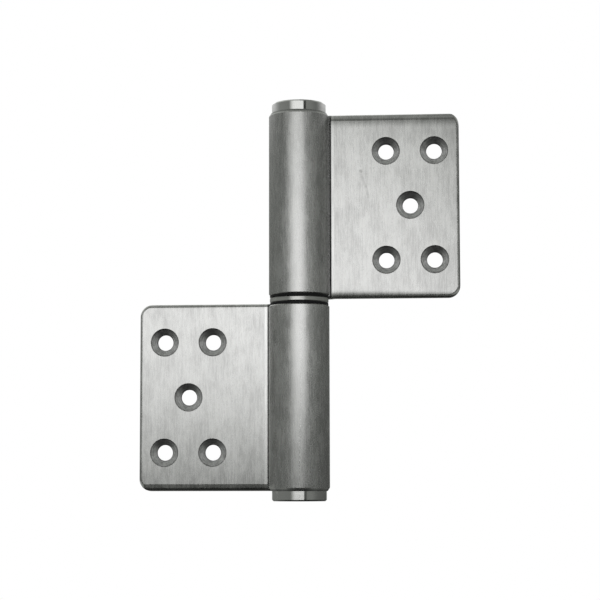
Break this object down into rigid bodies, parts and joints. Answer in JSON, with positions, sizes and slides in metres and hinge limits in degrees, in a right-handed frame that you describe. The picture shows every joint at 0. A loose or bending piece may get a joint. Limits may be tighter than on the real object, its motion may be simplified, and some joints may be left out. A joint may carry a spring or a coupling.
{
  "type": "lift-off flag hinge",
  "caption": "Opened steel flag hinge: leaves at different heights on one capped barrel, countersunk screw holes, black bushes and a thrust ring between the knuckles.",
  "frame": {"origin": "on the pin's axis, halfway between the two knuckles", "axes": "+Z along the pin towards the door leaf's cap, +X towards the door leaf's free edge with the hinge opened flat, -Y out of the leaves' front faces, where the screw heads sit"},
  "size_m": [0.1064, 0.02, 0.1318],
  "materials": {
    "leaf_steel": "brushed stainless steel, grain along the pin",
    "pin_steel": "ground stainless steel",
    "bearing_black": "black self-lubricating bearing composite",
    "washer_steel": "turned stainless steel",
    "cap_steel": "polished stainless steel"
  },
  "bodies": {
    "frame_side": {"frame_leaf": "leaf_steel", "hinge_pin": "pin_steel", "lower_bush": "bearing_black", "bottom_cap": "cap_steel"},
    "washer": {"thrust_washer": "washer_steel"},
    "door_side": {"door_leaf": "leaf_steel", "upper_bush": "bearing_black", "top_cap": "cap_steel"}
  },
  "joints": [
    {"name": "swing", "type": "hinge", "parent": "frame_side", "child": "washer", "pos_m": [0, 0, 0], "axis": [0, 0, 1], "continuous": true},
    {"name": "lift_off", "type": "slide", "parent": "washer", "child": "door_side", "axis": [0, 0, 1], "range_m": [0, 0.055]}
  ]
}
